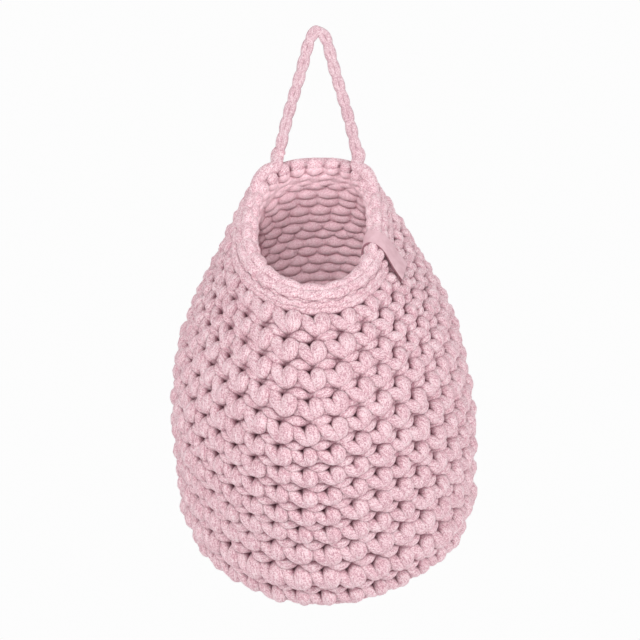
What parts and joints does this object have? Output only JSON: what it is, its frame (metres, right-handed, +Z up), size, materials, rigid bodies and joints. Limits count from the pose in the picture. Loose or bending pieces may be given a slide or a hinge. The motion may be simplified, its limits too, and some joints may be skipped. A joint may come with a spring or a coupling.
{
  "type": "crochet hanging bag",
  "caption": "Drop-shaped single crochet bag in thick cord with a sloping round mouth, a folded tag and a crocheted chain handle to hang it on a hook.",
  "frame": {"origin": "seat of the hook, on the under side of the handle's top bend", "axes": "+Z up as it hangs, the mouth faces -Y, +X to the right of someone who faces the mouth"},
  "size_m": [0.1567, 0.1685, 0.3012],
  "materials": {
    "body_cord": "thick soft cotton cord, heathered pale pink, matt",
    "rim_cord": "the same cord worked flat and smooth, matt",
    "handle_cord": "single strand of pale pink cotton cord, matt",
    "tag_leather": "plain soft imitation leather, fine grain, low sheen"
  },
  "bodies": {
    "handle": {"handle_chain": "handle_cord"},
    "bag": {"base_round_1": "body_cord", "base_round_2": "body_cord", "base_round_3": "body_cord", "base_round_4": "body_cord", "base_round_5": "body_cord", "wall_round_1": "body_cord", "wall_round_2": "body_cord", "wall_round_3": "body_cord", "wall_round_4": "body_cord", "wall_round_5": "body_cord", "wall_round_6": "body_cord", "wall_round_7": "body_cord", "wall_round_8": "body_cord", "wall_round_9": "body_cord", "wall_round_10": "body_cord", "wall_round_11": "body_cord", "wall_round_12": "body_cord", "wall_round_13": "body_cord", "rim_lip": "rim_cord", "handle_join_left": "handle_cord", "handle_join_right": "handle_cord", "tag": "tag_leather"}
  },
  "joints": [
    {"name": "handle_fold", "type": "hinge", "parent": "handle", "child": "bag", "pos_m": [0, 0, -0.0618], "axis": [1, 0, 0], "range_deg": [-110, 90]}
  ]
}
